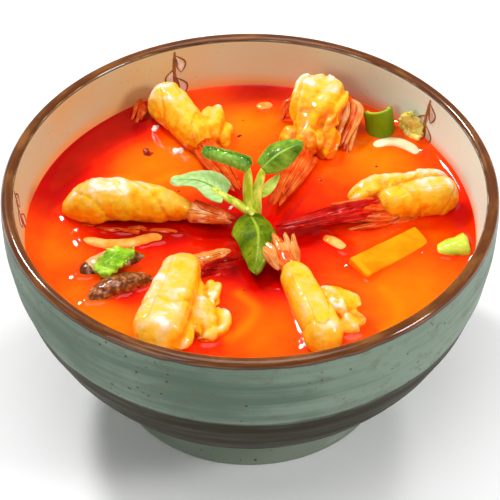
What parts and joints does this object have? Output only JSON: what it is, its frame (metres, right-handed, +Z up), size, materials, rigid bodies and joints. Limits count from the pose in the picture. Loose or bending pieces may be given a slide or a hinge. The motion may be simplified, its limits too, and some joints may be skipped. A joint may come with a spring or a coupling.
{
  "type": "bowl of spicy udon soup with prawns",
  "caption": "Glazed stoneware bowl on a flared foot, filled with glossy red soup, split tail-on prawns, udon, carrot, mushroom and greens, with a leafy sprig in the middle.",
  "frame": {"origin": "centre of the bowl's foot, on the surface it stands on", "axes": "+Z up out of the bowl, -Y toward the viewer of the picture, +X to the viewer's right"},
  "size_m": [0.19, 0.19, 0.1026],
  "materials": {
    "bowl_glaze": "sage green brushed glaze with a dark band, brown rim and cream inside",
    "soup": "wet, oily, orange to red",
    "prawn": "wet cooked flesh, red tail shell",
    "sprig": "fresh leaf, soft sheen",
    "carrot": "wet cut carrot",
    "mushroom": "wet brown cap skin",
    "herb": "wet crumpled leaf",
    "pepper": "wet green skin",
    "cabbage": "cooked frilled leaf",
    "stalk": "wet pale green stalk",
    "noodle": "wet boiled noodle"
  },
  "bodies": {
    "root": {"bowl": "bowl_glaze", "soup": "soup", "prawn_right": "prawn", "prawn_back_right": "prawn", "prawn_back_left": "prawn", "prawn_left": "prawn", "prawn_front_left": "prawn", "prawn_front_right": "prawn", "sprig": "sprig", "carrot_baton": "carrot", "mushroom_strip": "mushroom", "mushroom_slice": "mushroom", "herb_leaf": "herb", "pepper_piece": "pepper", "cabbage_piece": "cabbage", "stalk_piece": "stalk", "noodle_right": "noodle", "noodle_centre": "noodle", "noodle_left": "noodle", "noodle_back": "noodle"}
  },
  "joints": []
}
